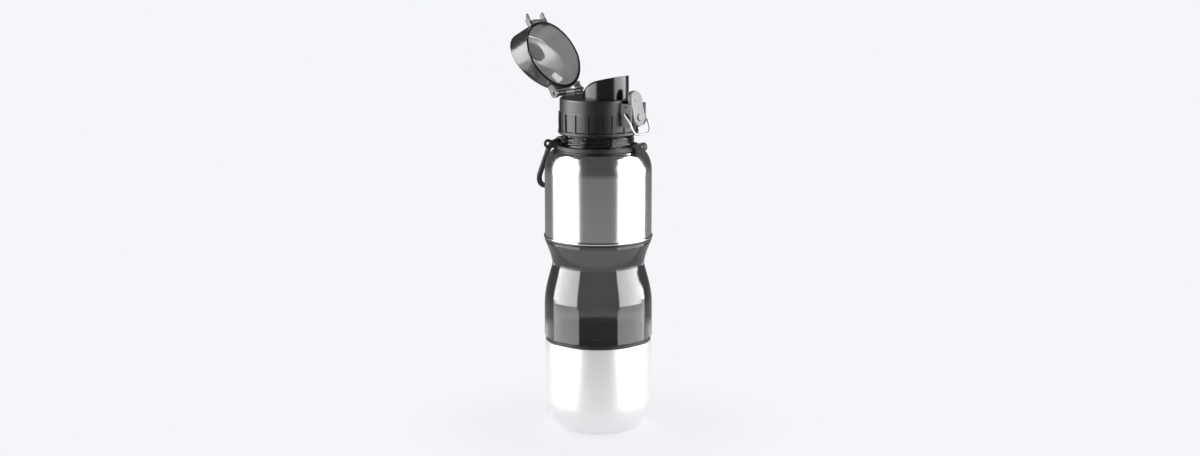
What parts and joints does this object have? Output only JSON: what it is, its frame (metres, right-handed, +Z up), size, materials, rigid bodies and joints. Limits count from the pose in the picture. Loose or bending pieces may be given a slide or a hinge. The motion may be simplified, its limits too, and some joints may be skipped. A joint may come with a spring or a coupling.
{
  "type": "dog travel water bottle",
  "caption": "Smoke-grey travel bottle with a steel sleeve, a flip-lid spout cap with a wire bail, and a steel cup that unscrews from the bottom as the dog's bowl.",
  "frame": {"origin": "centre of the bowl's flat foot, on the axis of the bottle", "axes": "+Z up along the bottle; +X towards the latch and the bail; -X towards the lid's hinge; Y along the hinge's axis"},
  "size_m": [0.1046, 0.0746, 0.2839],
  "materials": {
    "smoke_plastic": "clear smoke grey, polished",
    "lid_plastic": "clear smoke grey, polished",
    "sleeve_steel": "fine satin",
    "bowl_steel": "bright fine satin",
    "black_rubber": "matt black",
    "clear_silicone": "clear grey silicone",
    "white_silicone": "white silicone",
    "black_satin": "black satin",
    "black_gloss": "black, polished",
    "grey_plastic": "grey satin",
    "wire_steel": "bright wire"
  },
  "bodies": {
    "bottle": {"inner_bottle": "smoke_plastic", "steel_sleeve": "sleeve_steel", "sleeve_gasket": "black_rubber"},
    "bowl_carrier": {"bowl_seal": "black_rubber"},
    "bowl": {"dog_bowl": "bowl_steel", "bowl_thread_ring": "black_satin"},
    "cap_carrier": {"cap_seal": "white_silicone"},
    "cap": {"screw_cap": "black_satin", "spout": "black_gloss", "hinge_pin": "wire_steel", "hinge_spring_near": "wire_steel", "hinge_spring_far": "wire_steel", "latch_pin": "wire_steel", "latch_spring": "wire_steel"},
    "lid": {"flip_lid": "lid_plastic", "lid_seal": "clear_silicone"},
    "latch": {"latch_lever": "black_satin", "latch_button": "grey_plastic"},
    "bail": {"bail_wire": "wire_steel"},
    "ring": {"neck_ring": "black_satin"},
    "loop": {"carry_loop": "black_rubber"}
  },
  "joints": [
    {"name": "bowl_drop", "type": "slide", "parent": "bottle", "child": "bowl_carrier", "axis": [0, 0, -1], "range_m": [0, 0.012]},
    {"name": "bowl_turn", "type": "hinge", "parent": "bowl_carrier", "child": "bowl", "pos_m": [0, 0, 0], "axis": [0, 0, -1], "range_deg": [0, 540]},
    {"name": "cap_lift", "type": "slide", "parent": "bottle", "child": "cap_carrier", "axis": [0, 0, 1], "range_m": [0, 0.0125]},
    {"name": "cap_turn", "type": "hinge", "parent": "cap_carrier", "child": "cap", "pos_m": [0, 0, 0.224], "axis": [0, 0, 1], "range_deg": [0, 900]},
    {"name": "lid_hinge", "type": "hinge", "parent": "cap", "child": "lid", "pos_m": [-0.026, 0, 0.2312], "axis": [0, 1, 0], "range_deg": [0, 118.5], "stiffness_Nm_per_rad": 0.008, "springref_deg": -20.05, "deforming": ["hinge_spring_near", "hinge_spring_far"]},
    {"name": "latch_press", "type": "hinge", "parent": "cap", "child": "latch", "pos_m": [0.0298, 0, 0.2253], "axis": [0, -1, 0], "range_deg": [-9, 0], "stiffness_Nm_per_rad": 0.05, "springref_deg": 5.73, "deforming": ["latch_spring"]},
    {"name": "bail_swing", "type": "hinge", "parent": "cap", "child": "bail", "pos_m": [0.0296, 0, 0.2206], "axis": [0, -1, 0], "range_deg": [0, 140]},
    {"name": "ring_spin", "type": "hinge", "parent": "bottle", "child": "ring", "pos_m": [0, 0, 0.19465], "axis": [0, 0, 1], "continuous": true},
    {"name": "loop_swing", "type": "hinge", "parent": "ring", "child": "loop", "pos_m": [-0.03216, 0.00169, 0.1974], "axis": [-0.0523, -0.9986, 0], "range_deg": [-100, 0]}
  ],
  "couplings": [
    {"joint": "bowl_drop", "follows": "bowl_turn", "m_per_rad": 0.0012732},
    {"joint": "cap_lift", "follows": "cap_turn", "m_per_rad": 0.00079577}
  ]
}
